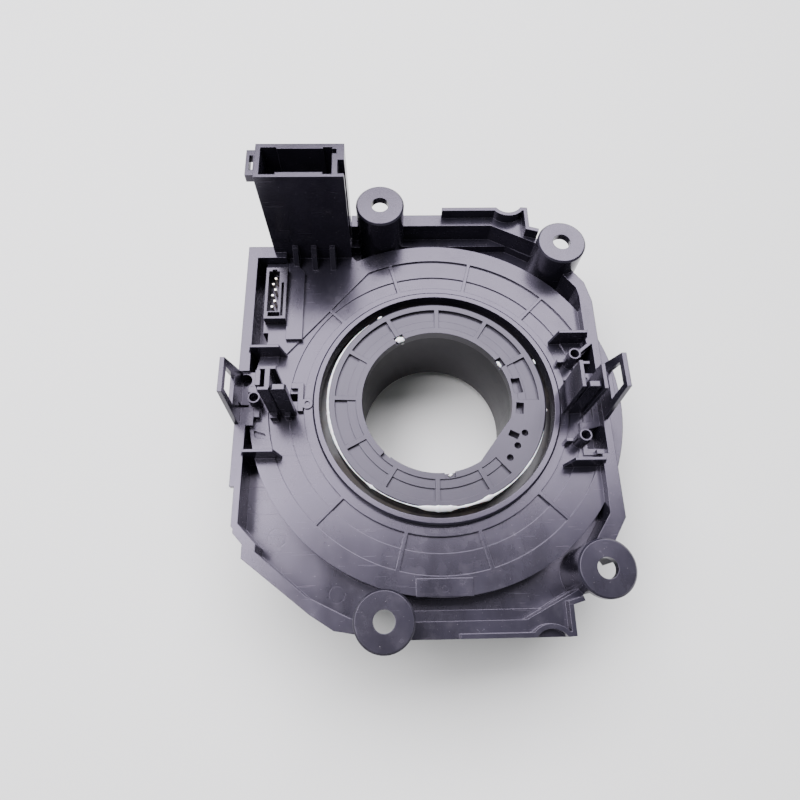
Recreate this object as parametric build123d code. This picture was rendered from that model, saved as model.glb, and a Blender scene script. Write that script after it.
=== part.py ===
from build123d import *
import math
import os

# Steering clock spring, seen from its column side (+Z). The origin is on the steering axis, in the
# plane of the rotor's rear ring. +X is right and +Y is up as the unit sits behind the wheel.
# All lengths are millimetres.

# ---- Rotor: what turns with the wheel ------------------------------------------------------------
bore_d = 43.8              # clear bore for the column
tube_bore_d = 44.6         # bore below the ring, a little wider so that the ring guides the column
bore_flat = 20.4           # distance of the bore's indexing flat from the axis
bore_flat_dir = -37.0      # direction that the flat faces away from, degrees
ring_thick = 3.2
pocket_deep = 1.1
pocket_hub = 1.8           # plain face between the bore and the pockets
pocket_step = 2.5          # inner part of each pocket, which is half as deep
pocket_rim = 2.2           # plain face outside the pockets
rib_wide = 1.3
rib_count = 12
rib_first = 28.0           # degrees from +X
plain_from = 312.0         # sector of the ring that has no pockets
plain_to = 357.0
bore_wall = 2.0
drum_wall = 1.7
drum_d = 60.0              # drum under the ring, outside
skirt_wall = 1.6           # skirt of the ring, round the drum
skirt_gap = 0.4
skirt_deep = 4.4
gear_ledge = 1.7           # width of the shoulder that the drive gear sits on
reel_d = 74.0              # reel that the tapes wind on
reel_core_wall = 1.9
hub_d = 60.0
hub_front = 30.0           # depth of the hub's front face below the ring
flange_edge = 1.0          # how far the front flange stays inside the case's outside
flange_thick = 1.7
post_d = 6.0               # drive posts that enter the steering wheel
post_tall = 7.0
post_pcd = 84.0
post_dirs = (90.0, 232.0)

# ---- Cable case: the cup that holds the wound tapes ----------------------------------------------
case_overhang = 1.7        # how far the case stands out under the disc
case_wall = 1.8
case_deep = 13.8
case_plate = 1.8
reel_gap = 1.6             # between the reel and the hole in the case's plate
hook_wide = 7.0
hook_dirs = (60.0, 182.0, 240.0, 300.0)
hook_reach = 2.1

# ---- Tapes and slide sheets ----------------------------------------------------------------------
tape_thick = 0.35
tape_turns = 4
tape_reel_gap = 3.6        # from the reel to the start of a tape
tape_case_gap = 3.7        # from the end of a tape to the case's wall
sheet_thick = 0.3

# ---- Angle sensor --------------------------------------------------------------------------------
tooth_module = 1.0
drive_teeth = 76
gear_a_teeth = 12
gear_b_teeth = 13
gear_a_dir = 121.0
gear_b_dir = 149.0
gear_thick = 2.2
gear_under = -10.6
backlash = 0.24
pressure = math.radians(20)
addendum = 0.7
dedendum = 1.15
pin_d = 3.0
magnet_d = 5.2
magnet_thick = 0.9
board_thick = 1.4
chip_side = 4.0
chip_thick = 0.8
header_x = (-51.8, -45.2)
header_y = (26.6, 44.8)
header_top = 1.5
header_wall = 0.9
header_pins = 6
header_pitch = 2.0

# ---- Leads and wheel-side sockets ----------------------------------------------------------------
lead_x = (-42.0, -32.0)
switch_socket = (0.0, -42.5, 22.0, 9.0)     # x, y, width and height
airbag_socket = (35.5, 23.0, 11.0, 9.5)     # +-x, y, width and height
socket_wall = 1.3
socket_deep = 9.0
pin_wide = 0.64
pin_long = 4.5

# ---- Rear housing: tray, disc, ears, shrouds and switch brackets ----------------------------------
rim_top = 1.0
rim_thick = 2.0
wall = 1.8
floor_top = -9.5
floor_thick = 2.0
side_x = 58.0              # outer edge of the rim, left
side_in_x = 54.9
right_x = 49.6             # outer edge of the rim, right
right_in_x = 45.8
end_in_y = 60.6            # inner faces of the two end walls
end_out_y = 64.9           # outer edges of the two end flanges
corner_y = 52.9            # top left corner
fence_top = 4.7            # the upper fence; the lower one is a little shorter
low_fence_top = 4.1
fence_wall = 1.2
disc_d = 109.6
disc_top = -2.3
disc_thick = 1.8
disc_wall = 1.8
disc_rim = 5.5             # plain rim outside the ribbed recess
outer_step = 5.9           # widths of the recess's two steps
inner_step = 4.4
recess_outer = 0.6
recess_inner = 1.0
spoke_count = 12
spoke_first = 15.4
spoke_wide = 1.0
spoke_past = 1.5           # how far the spokes run on inside the recess
collar_gap = 2.4           # between the rotor's ring and the collar round it
collar_wall = 1.9
shelf_top = -6.3           # ledge along the foot of the two end walls
shelf_y = 57.7
deck_x = (-50.8, -25.2)    # deck level with the disc, from the upper left guide to the tower
deck_y = (16.2, 51.0)
pad_top = -1.0

ear_d = 15.0
ear_hole_d = 5.4
ear_thick = 2.4
ear_pipe_wall = 1.6
left_ear = (-16.0, 60.6, 11.5)     # x, +-y and top of the ears on the left
right_ear = (40.3, 49.0, 8.0)

tower_x = (-49.7, -25.4)
tower_y = (50.8, 62.2)
tower_top = 34.8
tower_wall = 1.4
tower_key = (-43.9, -31.2)         # span of the thicker key on the long walls
tower_block = 3.3                  # solid end of the shroud beside the socket
tower_floor = 4.0
channel_deep = 1.8                 # keyway beside the socket
channel_wide = 4.7
channel_start = 1.1                # from the tower's near face to the keyway
lug_reach = 2.4                    # latch eye on the shroud's left face
root_deep = 10.5                   # depth of the lead chamber under the tower

# ---- Stalk switch brackets ------------------------------------------------------------------------
guide_top = 4.4
guide_wall = 0.8
left_guides = (-46.1, 15.9)        # inner end and +-y of the two guide plates
right_guides = (37.0, 19.6)
web_top = 18.0
finger_top = 17.6
finger_thick = 1.5
rivet_d = 3.5                      # small pipes that the switches' rivets enter
rivet_hole_d = 2.6
rivet_top = 3.9
left_rivet = (-52.4, 0.0)
left_socket = (-56.0, 6.9)         # round socket in the left seat
right_rivet = (40.9, 12.55)
loop_top = 20.5
loop_y = (-4.9, 4.7)
loop_wall = 1.2
loop_window = 9.0                  # lower edge of the loop's window
left_seat = (-7.0, 9.5)            # span of the lowered rim between the loop and the disc
left_seat_top = -0.3
right_seat = (-17.2, 17.4)         # span where the right rim is narrower
right_seat_x = 47.5

# ---- Running fits and assembly gaps --------------------------------------------------------------
gap = 0.3
fit = 0.05
seat = 0.1


# ---- Helpers -------------------------------------------------------------------------------------
def block(x0, x1, y0, y1, z0, z1):
    """Box between two corners."""
    size = Box(x1 - x0, y1 - y0, z1 - z0)
    return Pos((x0 + x1) / 2, (y0 + y1) / 2, (z0 + z1) / 2) * size


def disc(d, z0, z1, x=0.0, y=0.0):
    """Upright cylinder."""
    return Pos(x, y, (z0 + z1) / 2) * Cylinder(d / 2, z1 - z0)


def tube(d_out, d_in, z0, z1, x=0.0, y=0.0):
    """Upright pipe."""
    return disc(d_out, z0, z1, x, y) - disc(d_in, z0 - 1, z1 + 1, x, y)


def plate(points, z0, z1):
    """Flat plate with a polygon outline."""
    outline = make_face(Polyline(*points, close=True))
    return Pos(0, 0, z0) * extrude(outline, z1 - z0)


def upright(points, x0, x1):
    """Plate that stands across X, with its outline given as (y, z)."""
    outline = make_face(Polyline(*[(0, y, z) for y, z in points], close=True))
    return Pos(x0, 0, 0) * extrude(outline, x1 - x0, dir=(1, 0, 0))


def upright_y(points, y0, y1):
    """Plate that stands across Y, with its outline given as (x, z)."""
    outline = make_face(Polyline(*[(x, 0, z) for x, z in points], close=True))
    return Pos(0, y0, 0) * extrude(outline, y1 - y0, dir=(0, 1, 0))


def polar(radius, degrees):
    """Point on a circle round the steering axis."""
    turn = math.radians(degrees)
    return radius * math.cos(turn), radius * math.sin(turn)


def turned(solid, degrees):
    """The solid turned about the steering axis."""
    return Rot(0, 0, degrees) * solid


def bore_core(z0, z1):
    """The column's clearance: a round bore with one flat."""
    round_core = disc(bore_d, z0, z1)
    flat = block(bore_flat, bore_d, -bore_d, bore_d, z0 - 1, z1 + 1)
    return round_core - turned(flat, bore_flat_dir)


# ---- Diameters and levels worked out from the sizes above ----------------------------------------
ring_d = drum_d + 2 * (skirt_gap + skirt_wall)
pocket_in_d = bore_d + 2 * pocket_hub
pocket_step_d = pocket_in_d + 2 * pocket_step
pocket_out_d = ring_d - 2 * pocket_rim
case_d = disc_d + 2 * case_overhang
case_in_d = case_d - 2 * case_wall
case_hole_d = reel_d + 2 * reel_gap
flange_d = case_d - 2 * flange_edge
lip_in_d = ring_d + 2 * collar_gap
lip_out_d = lip_in_d + 2 * collar_wall
step_d = disc_d - 2 * disc_rim
mid_step_d = step_d - 2 * outer_step
inner_step_d = mid_step_d - 2 * inner_step
floor_under = floor_top - floor_thick
case_top = floor_under
plate_under = case_top - case_plate
case_front = case_top - case_deep
flange_top = case_front - gap
flange_front = flange_top - flange_thick
ring_under = -ring_thick
disc_under = disc_top - recess_inner - disc_thick
hook_inner = disc_d / 2 - disc_wall - 1.5
hook_nose = (disc_under - 2.2, disc_under - 0.6)
front_face = flange_front - socket_deep     # the unit rests on the sockets' front faces
gear_top = gear_under + gear_thick
board_top = disc_under
board_under = board_top - board_thick
tape_start_r = reel_d / 2 + tape_reel_gap
tape_pitch = (case_in_d / 2 - tape_case_gap - tape_start_r) / tape_turns
tape_rear = plate_under - 0.7
tape_front = flange_top + 0.7
root_under = floor_under - root_deep
lead_z = (root_under + 1.8, floor_under - 3.2)


# ---- Rotor ring ----------------------------------------------------------------------------------
def pocket_ring(d_out, d_in, deep):
    return tube(d_out, d_in, -deep, 1)


def rotor_ring():
    """Rear ring: a pocketed face with three index holes, and a spigot that snaps into the drum."""
    ring = disc(ring_d, ring_under, 0)
    ring = chamfer(ring.edges().group_by(Axis.Z)[-1], 0.5)
    spigot_out = drum_d - 2 * drum_wall - 2 * seat
    spigot_in = bore_d + 2 * bore_wall + 2 * seat
    pockets = pocket_ring(pocket_out_d, pocket_step_d, pocket_deep)
    pockets += pocket_ring(pocket_step_d, pocket_in_d, pocket_deep / 2)
    for k in range(rib_count):
        rib = block(bore_d / 2, ring_d / 2, -rib_wide / 2, rib_wide / 2, -2 * pocket_deep, 2)
        pockets -= turned(rib, rib_first + 360 / rib_count * k)
    middle = (plain_from + plain_to) / 2
    half = (plain_to - plain_from) / 2
    far = ring_d
    sector = plate([(0, 0), polar(far, -half), (far, 0), polar(far, half)], -2 * pocket_deep, 2)
    pockets -= turned(sector, middle)
    ring -= pockets
    ring += tube(spigot_out, spigot_out - 3.0, ring_under - 4.0, ring_under)
    ring += tube(ring_d, ring_d - 2 * skirt_wall, ring_under - skirt_deep, ring_under)
    ring -= tube(spigot_in, bore_d, ring_under - 6.0, ring_under)
    for radius, direction in ((26.9, -23.0), (26.5, -32.6), (26.7, -41.8)):
        x, y = polar(radius, direction)
        ring -= disc(1.9, -2.4, 1, x, y)
    for direction, wide, long in ((10.3, 2.8, 4.7), (-7.0, 2.2, 3.4), (-27.0, 2.9, 1.8)):
        middle_r = bore_d / 2 + 2.3
        window = block(middle_r - wide / 2, middle_r + wide / 2, -long / 2, long / 2, -2.6, 1)
        ring -= turned(window, direction)
    for direction, long in ((31.0, 3.0), (118.0, 3.0), (228.0, 2.4), (277.0, 3.0)):
        notch = block(bore_d / 2 - 1, bore_d / 2 + 1.7, -long / 2, long / 2, -1.6, 1)
        ring -= turned(notch, direction)
    return ring - bore_core(ring_under - 6, 1)


# ---- Rotor ---------------------------------------------------------------------------------------
def rotor():
    """Front rotor: bore tube, drum, tape reel and front flange in one moulding."""
    bore_r = bore_d / 2
    profile = [
        (bore_r - 4, -hub_front),
        (hub_d / 2, -hub_front),
        (hub_d / 2, flange_front),
        (flange_d / 2, flange_front),
        (flange_d / 2, flange_top),
        (reel_d / 2, flange_top),
        (reel_d / 2, plate_under - 0.6),
        (drum_d / 2 + gear_ledge, plate_under - 0.6),
        (drum_d / 2 + gear_ledge, gear_under),
        (drum_d / 2, gear_under),
        (drum_d / 2, ring_under),
        (bore_r - 4, ring_under),
    ]
    body = revolve(make_face(Polyline(*[(r, 0, z) for r, z in profile], close=True)), Axis.Z)
    body -= tube(drum_d - 2 * drum_wall, bore_d + 2 * bore_wall, flange_top, 1)
    core_out = reel_d - 2 * reel_core_wall
    core_in = hub_d + 2 * 1.2
    body -= tube(core_out, core_in, flange_front - 1, plate_under - 2.6)
    for direction in post_dirs:
        x, y = polar(post_pcd / 2, direction)
        post = disc(post_d, flange_front - post_tall, flange_front, x, y)
        body += chamfer(post.edges().group_by(Axis.Z)[0], 0.8)
    for k in range(8):
        web = block(bore_r + bore_wall - 0.2, drum_d / 2 - drum_wall + 0.2, -0.7, 0.7,
                    flange_top - 0.2, ring_under - 5.0)
        body += turned(web, 45 * k + 10)
    return body - disc(tube_bore_d, -hub_front - 1, 1)


# ---- Angle sensor --------------------------------------------------------------------------------
def gear_blank(teeth, first_tooth):
    """Spur gear outline: involute flanks at three radii a side, with a tooth centred on first_tooth."""
    pitch_r = tooth_module * teeth / 2
    base_r = pitch_r * math.cos(pressure)
    tip_r = pitch_r + addendum * tooth_module
    root_r = pitch_r - dedendum * tooth_module
    half_tooth = math.pi / (2 * teeth) - backlash / (4 * pitch_r)

    def flank(radius):
        """Half angle of the tooth at a radius."""
        roll = math.acos(min(1.0, base_r / max(radius, base_r)))
        inv = math.tan(roll) - roll
        return half_tooth + math.tan(pressure) - pressure - inv

    low_r = max(base_r, root_r + 0.15 * tooth_module)
    steps = (low_r, (low_r + tip_r) / 2, tip_r)
    points = []
    for k in range(teeth):
        centre = math.radians(first_tooth) + 2 * math.pi * k / teeth
        angles = [(root_r, -flank(low_r))] + [(r, -flank(r)) for r in steps]
        angles += [(r, flank(r)) for r in reversed(steps)] + [(root_r, flank(low_r))]
        points += [(r * math.cos(centre + a), r * math.sin(centre + a)) for r, a in angles]
    return plate(points, gear_under, gear_top)


def gear_centre(teeth, direction):
    return polar(tooth_module * (drive_teeth + teeth) / 2, direction)


def measuring_gear(teeth, direction):
    """Small gear that runs on a pin of the cable case; one of its gaps faces the drive gear's tooth."""
    x, y = gear_centre(teeth, direction)
    drive_pitch = 360 / drive_teeth
    offset = (direction / drive_pitch - round(direction / drive_pitch)) * drive_pitch
    facing = direction + 180 + 180 / teeth + offset * drive_teeth / teeth
    gear = Pos(x, y, 0) * gear_blank(teeth, facing)
    return gear - disc(pin_d + 2 * fit, gear_under - 1, gear_top - 0.5, x, y)


def magnet(teeth, direction):
    x, y = gear_centre(teeth, direction)
    return disc(magnet_d, gear_top, gear_top + magnet_thick, x, y)


def sensor_drive_gear():
    """Toothed ring pushed onto the drum."""
    return gear_blank(drive_teeth, 0) - disc(drum_d + 2 * fit, gear_under - 1, gear_top + 1)


def sensor_board():
    """Circuit board under the disc: a sector over the gears and a tab under the header."""
    outer = disc(2 * hook_inner, board_under, board_top)
    outer -= disc(lip_out_d + 2.4, board_under - 1, board_top + 1)
    far = disc_d
    sector = plate([(0, 0), polar(far, 108), polar(far, 135), polar(far, 162)], board_under, board_top)
    tab = block(header_x[0] - 0.6, -36, header_y[0] - 1.0, header_y[1] + 1.0, board_under, board_top)
    return (outer & sector) + tab


def sensor_chips():
    """Two field sensors, each over its gear's magnet."""
    chips = []
    for teeth, direction in ((gear_a_teeth, gear_a_dir), (gear_b_teeth, gear_b_dir)):
        x, y = gear_centre(teeth, direction)
        half = chip_side / 2
        chips.append(block(x - half, x + half, y - half, y + half, board_under - chip_thick, board_under))
    return Compound(chips)


def sensor_header():
    """Six-way header on the board, reaching through the housing's deck."""
    x0, x1 = header_x
    y0, y1 = header_y
    body = block(x0, x1, y0, y1, board_top, header_top)
    body -= block(x0 + header_wall, x1 - 2.4, y0 + 2.6, y1 - 1.4, board_top + 2.0, header_top + 1)
    body -= block(x1 - 1.6, x1 - header_wall, y0 + 1.0, y1 - 5.5, header_top - 3.2, header_top + 1)
    body -= block(x0 + 1.2, x1 - 1.8, y0 + 0.8, y0 + 2.2, header_top - 3.4, header_top + 1)
    body -= block(x0 + 1.9, x1 - 3.3, y1 - 1.5, y1 - 0.8, header_top - 3.0, header_top + 1)
    return body


def header_pin_row():
    """Pins in the header, in one staggered row."""
    pins = []
    middle_x = (header_x[0] + header_wall + header_x[1] - 2.4) / 2
    middle_y = (header_y[0] + 2.6 + header_y[1] - 1.4) / 2
    for k in range(header_pins):
        y = middle_y + (k - (header_pins - 1) / 2) * header_pitch
        x = middle_x + (0.35 if k % 2 else -0.35)
        pins.append(block(x - 0.32, x + 0.32, y - 0.32, y + 0.32, board_top + 2.0, header_top - 0.9))
    return Compound(pins)


# ---- Tapes and slide sheets ----------------------------------------------------------------------
def spiral(start_r, shift, turns):
    """Edges of a spiral made of half circles, from the reel outwards."""
    edges = []
    step = tape_pitch / 2
    left = -(start_r + shift)
    for k in range(2 * turns):
        side = -1 if k % 2 == 0 else 1
        reach = start_r + shift + step * (k + 1)
        right = reach * -side
        radius = abs(right - left) / 2
        middle = (left + right) / 2
        edges.append(ThreePointArc((left, 0), (middle, radius * -side), (right, 0)))
        left = right
    return edges


def tape(start_r, direction):
    """Flat ribbon cable wound from the reel to the case."""
    inner = spiral(start_r, 0, tape_turns)
    outer = spiral(start_r, tape_thick, tape_turns)
    ends = [Line(inner[0] @ 0, outer[0] @ 0), Line(inner[-1] @ 1, outer[-1] @ 1)]
    strip = make_face(Wire(inner + outer + ends))
    return turned(Pos(0, 0, tape_front) * extrude(strip, tape_rear - tape_front), direction)


def rear_slide_sheet():
    return tube(case_in_d - 1.0, case_hole_d + 1.0, plate_under - sheet_thick, plate_under)


def front_slide_sheet():
    return tube(flange_d - 4.0, reel_d + 0.6, flange_top, flange_top + sheet_thick)


# ---- Lead blocks ---------------------------------------------------------------------------------
def stator_lead_block():
    """Moulded carrier of the leads, from the case's window up into the tower's socket."""
    x0, x1 = tower_x[0] + tower_wall + 0.8, tower_x[1] - 3.4
    y0, y1 = tower_y[0] + 2.2, tower_y[1] - 2.0
    plug = block(x0, x1, y0, y1, lead_z[0], tower_floor)
    tongue = block(lead_x[0], lead_x[1], 30, y0 + 1, lead_z[0], lead_z[1])
    tongue -= disc(case_in_d - 1.2, lead_z[0] - 1, lead_z[1] + 1)
    return plug + tongue


def main_terminals():
    """Twelve blades in two rows, standing in the tower's socket."""
    blades = []
    x0, x1 = tower_x[0] + tower_wall + 2.6, tower_x[1] - 5.2
    y_mid = (tower_y[0] + tower_y[1]) / 2
    for k in range(6):
        x = x0 + (x1 - x0) * k / 5
        for y in (y_mid - 1.5, y_mid + 1.5):
            blades.append(block(x - 0.5, x + 0.5, y - 0.3, y + 0.3, tower_floor, tower_floor + 11))
    return Compound(blades)


def rotor_lead_block():
    """Clip on the reel where the tapes' inner ends leave for the wheel-side sockets."""
    under = flange_top + sheet_thick
    body = tube(reel_d + 4.6, reel_d + 2 * fit, under, tape_rear)
    sector = plate([(0, 0), polar(reel_d, -9), polar(reel_d, 9)], under, tape_rear)
    return turned(body & sector, 205)


# ---- Wheel-side sockets --------------------------------------------------------------------------
def wheel_socket(x, y, wide, tall):
    """Open shroud on the front flange, with its mouth towards the wheel."""
    body = block(x - wide / 2, x + wide / 2, y - tall / 2, y + tall / 2, front_face, flange_front)
    in_x = wide / 2 - socket_wall
    in_y = tall / 2 - socket_wall
    return body - block(x - in_x, x + in_x, y - in_y, y + in_y, front_face - 1, flange_front - 1.4)


def wheel_pins(x, y, pitch, count, rows):
    """Pins standing in a wheel-side socket."""
    pins = []
    half = pin_wide / 2
    root = flange_front - 1.4
    for k in range(count):
        pin_x = x + (k - (count - 1) / 2) * pitch
        for row in range(rows):
            pin_y = y + (row - (rows - 1) / 2) * 2.6
            pins.append(block(pin_x - half, pin_x + half, pin_y - half, pin_y + half, root - pin_long, root))
    return Compound(pins)


# ---- Cable case ----------------------------------------------------------------------------------
def cable_case():
    """Cup for the tapes: plate, rim wall, gear pins, lead window and snap hooks."""
    case = disc(case_d, case_front, case_top)
    case = chamfer(case.edges().group_by(Axis.Z)[0], 0.6)
    case -= disc(case_in_d, case_front - 1, plate_under)
    case -= disc(case_hole_d, case_front - 1, case_top + 1)
    for teeth, direction in ((gear_a_teeth, gear_a_dir), (gear_b_teeth, gear_b_dir)):
        x, y = gear_centre(teeth, direction)
        case += disc(pin_d, case_top - 0.2, gear_top - 0.6, x, y)
        case += disc(pin_d + 2.4, case_top - 0.2, gear_under - fit, x, y)
    case -= block(lead_x[0] - gap, lead_x[1] + gap, 30, case_d, lead_z[0] - gap, lead_z[1] + gap)
    for direction in hook_dirs:
        case += turned(snap_hook(), direction)
    return case


def snap_hook():
    """Hook that rises from the case and latches over the disc's edge wall."""
    inner = hook_inner
    stem = block(inner, inner + 1.2, -hook_wide / 2, hook_wide / 2, case_top - 0.2, disc_under - 0.4)
    nose = block(inner + 0.2, inner + hook_reach, -hook_wide / 2, hook_wide / 2, hook_nose[0], hook_nose[1])
    return stem + nose


# ---- Rear housing --------------------------------------------------------------------------------
def rim_outline():
    """Outer edge of the rim flange, anticlockwise from the tower."""
    top = end_out_y
    return [
        (tower_x[0], corner_y), (-side_x, corner_y), (-side_x, -25.0), (-side_x + 1.9, -25.0),
        (-side_x + 1.9, -37.6), (-53.4, -40.6), (-53.4, -44.2), (-35.0, -58.5), (-28.8, -62.4),
        (-24.0, -63.2), (-16.0, -end_out_y), (30.6, -top), (31.6, -56.4), (34.0, -55.6),
        (right_ear[0], -right_ear[1]), (45.7, -41.5), (right_x, -35.2), (right_x, -20.0),
        (right_x, 32.0), (48.0, 38.7), (right_ear[0], right_ear[1]), (34.0, 55.6), (31.6, 56.4),
        (30.6, top), (tower_x[1], top), (tower_x[1], tower_y[1]), (tower_x[0], tower_y[1]),
    ]


def pocket_outline():
    """Inner edge of the tray's wall."""
    end = end_in_y
    return [
        (-46.0, 48.8), (-side_in_x, 48.8), (-side_in_x, -35.1), (-49.8, -40.6), (-49.8, -42.6),
        (-36.1, -54.0), (-25.0, -end + 1.2), (-20.0, -end), (20.2, -end), (34.0, -53.7),
        (41.3, -40.2), (right_in_x - 0.3, -34.0), (right_in_x, -27.0), (right_in_x, 34.0),
        (45.2, 36.9), (41.0, 42.4), (34.0, 53.7), (20.2, end), (tower_x[1], end),
        (tower_x[1], tower_y[0]), (-46.0, tower_y[0]),
    ]


def ear(x, y, top):
    """Screw ear: a flat pad on a half pipe that is open outwards."""
    under = top - ear_thick
    away = math.degrees(math.atan2(y, x))
    pipe = tube(ear_d, ear_d - 2 * ear_pipe_wall, floor_under, under)
    pipe -= Rot(0, 0, away) * block(1.5, ear_d, -ear_d, ear_d, floor_under - 1, top)
    pad = disc(ear_d, under, top)
    pad = chamfer(pad.edges().group_by(Axis.Z)[-1], 0.5)
    return Pos(x, y, 0) * (pipe + pad)


def ears():
    places = [(x, side * y, top) for x, y, top in (left_ear, right_ear) for side in (1, -1)]
    return places


def end_fence(side, start_x, top):
    """Upstanding edge of an end flange, with its dip and spike."""
    y = side * (end_out_y - fence_wall / 2)
    dip = side * (end_out_y - 2.6)
    corner = (31.1, side * (end_out_y - 0.7))
    path = [
        Line((start_x, y), (21.4, y)),
        ThreePointArc((21.4, y), (25.5, dip), (29.8, y)),
        Line((29.8, y), corner),
        Line(corner, (31.1, side * 56.9)),
        Line((31.1, side * 56.9), (34.6, side * 55.9)),
    ]
    strip = trace(path, fence_wall)
    return Pos(0, 0, rim_top - rim_thick) * extrude(strip, top - rim_top + rim_thick)


def ribbed_disc():
    """Raised disc over the sensor and tapes, with its ribbed recess and the collar round the rotor."""
    drum = disc(disc_d, floor_under, disc_top)
    recess = tube(step_d, mid_step_d, disc_top - recess_outer, 1)
    recess += tube(mid_step_d, inner_step_d, disc_top - recess_inner, 1)
    for k in range(spoke_count):
        direction = spoke_first + 360 / spoke_count * k
        if abs(polar(step_d / 2, direction)[1]) > left_guides[1]:
            spoke_from = inner_step_d / 2 - spoke_past
            spoke = block(spoke_from, step_d / 2, -spoke_wide / 2, spoke_wide / 2, disc_under, 2)
            recess -= turned(spoke, direction)
    drum -= recess
    drum += block(-7.6, 7.5, -disc_d / 2 + 0.3, -step_d / 2 - 0.6, disc_under, disc_top + 0.3)
    drum -= disc(disc_d - 2 * disc_wall, floor_under - 1, disc_under)
    collar = disc(lip_out_d, disc_under, 0)
    collar = chamfer(collar.edges().group_by(Axis.Z)[-1], 0.5)
    drum += collar
    return drum - disc(lip_in_d, floor_under - 1, 1)


def tower_hollow():
    """The space inside the tower, from its mouth down through the lead chamber."""
    x0, x1 = tower_x
    y0, y1 = tower_y
    return block(x0 + tower_wall, x1 - tower_block, y0 + 0.9, y1 - 1.2, root_under + tower_wall, tower_top + 1)


def tower():
    """Main connector shroud with its keyed socket, side channel, lug and gussets."""
    x0, x1 = tower_x
    y0, y1 = tower_y
    body = block(x0, x1, y0, y1, root_under, tower_top)
    body += block(lead_x[0] - 1.6, lead_x[1] + 1.6, 34, y0 + 0.5, root_under, floor_under)
    inner_x1 = x1 - tower_block
    body -= tower_hollow()
    for y_a, y_b in ((y0 + 0.8, y0 + 1.6), (y1 - 1.7, y1 - 1.1)):
        body += block(tower_key[0], tower_key[1], y_a, y_b, root_under + 1, tower_top)
    channel_y = y0 + channel_start
    body -= block(x1 - channel_deep, x1 + 0.1, channel_y, channel_y + channel_wide, 0, tower_top + 1)
    body -= block(inner_x1 - 0.6, inner_x1 + 1.2, y1 - 3.4, y1 - 1.8, tower_floor, tower_top + 1)
    lug = block(x0 - lug_reach, x0 + 0.2, y0 + 1.2, y1 - 1.6, tower_top - 3.2, tower_top - 0.6)
    lug -= block(x0 - lug_reach + 0.9, x0 - 0.4, y0 + 3.0, y1 - 3.4, tower_top - 4, tower_top)
    body += lug
    for x in (-42.8, -37.0, -31.2):
        gusset = [(y0 + 0.2, 4.4), (y0 - 0.9, 4.4), (y0 - 4.6, disc_top), (y0 - 4.6, floor_under),
                  (y0 + 0.2, floor_under)]
        body += upright(gusset, x - 0.8, x + 0.8)
    return body


def header_deck():
    """Raised corner of the tray over the sensor board's tab, with a gusset beside the header."""
    x0, x1 = deck_x
    y0, y1 = deck_y
    outline = [(x0, y0), (-45.0, y0), (-20.0, 45.0), (x1, y1), (-46.2, y1), (-46.2, 48.6), (x0 - 1.6, 48.6),
               (x0 - 1.6, header_y[0] - 3.0), (x0, header_y[0] - 3.0)]
    deck = plate(outline, floor_under, disc_top)
    pad = [(header_x[1], y0 + 4.6), (-40.2, y0 + 4.6), (-40.2, y1 - 6.5), (-43.0, y1 - 3.2),
           (header_x[1], y1 - 3.2)]
    deck += plate(pad, disc_top - 0.2, pad_top)
    return deck


def guide_plates(wall_x, guides):
    """Two plates that guide a stalk switch, one each side of its seat."""
    end_x, y = guides
    side = 1 if wall_x > end_x else -1
    edge_x = math.sqrt((disc_d / 2) ** 2 - y ** 2) - 0.6
    outline = [(wall_x + 0.5 * side, rim_top), (wall_x - 0.4 * side, guide_top), (end_x, guide_top),
               (end_x - 2.0 * side, disc_under)]
    if abs(wall_x) > edge_x:
        outline += [(edge_x * side, disc_under), (edge_x * side, floor_under + 0.5)]
        outline.append((wall_x + 0.5 * side, floor_under + 0.5))
    else:
        outline.append((wall_x + 0.5 * side, disc_under))
    one = upright_y(outline, y - guide_wall / 2, y + guide_wall / 2)
    return [one, Pos(0, -2 * y, 0) * one]


def rivet_pipe(x, y):
    return tube(rivet_d, rivet_hole_d, disc_under + 0.3, rivet_top, x, y)


def latch_loop(x):
    """Loop plate that the switch's latch snaps into."""
    y0, y1 = loop_y
    frame = [(y0 - 2.2, floor_under + 0.5), (y0 - 2.2, rim_top), (y0, loop_top), (y1, loop_top),
             (y1 + 4.2, rim_top), (y1 + 4.2, floor_under + 0.5)]
    window = [(y0 + 0.9, loop_window), (y0 + 1.6, loop_top - 2.4), (y1 - 1.6, loop_top - 2.4),
              (y1 - 0.4, loop_window)]
    plate_x = upright(frame, x - loop_wall / 2, x + loop_wall / 2)
    return plate_x - upright(window, x - loop_wall, x + loop_wall)


def post(x0, x1, y0, y1, top):
    """Plain upright bar standing on the disc."""
    return block(x0, x1, y0, y1, disc_under + 0.3, top)


def left_bracket():
    """Left switch seat: an I-shaped post with a side wall, a finger, a rivet pipe and the loop."""
    x, y = left_rivet
    half = rivet_d / 2
    finger = post(-45.1, -41.1, -3.4, -3.4 + finger_thick, finger_top)
    finger = fillet(finger.edges().filter_by(Axis.Y).group_by(Axis.Z)[-1], 0.7)
    return guide_plates(-side_in_x, left_guides) + [
        post(-46.6, -45.3, -3.0, 2.6, web_top),
        post(-48.1, -43.9, 2.3, 3.1, web_top),
        post(-48.4, -45.5, -3.6, -2.8, web_top),
        post(-49.2, -47.9, -2.0, 2.3, web_top - 0.6),
        post(-47.95, -46.5, -0.4, 0.4, web_top - 8.0),
        finger,
        rivet_pipe(x, y),
        post(x - half, x + half - 1.0, y + half - 0.3, y + half + 1.5, rivet_top),
        post(x - 0.6, x + 1.0, y - half - 2.9, y - half + 0.2, 0.0),
        post(-48.3, -46.2, -4.9, -3.5, 0.0),
        post(-44.0, -42.5, -4.6, -3.3, 0.0),
        latch_loop(-side_x + loop_wall / 2),
    ]


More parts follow.
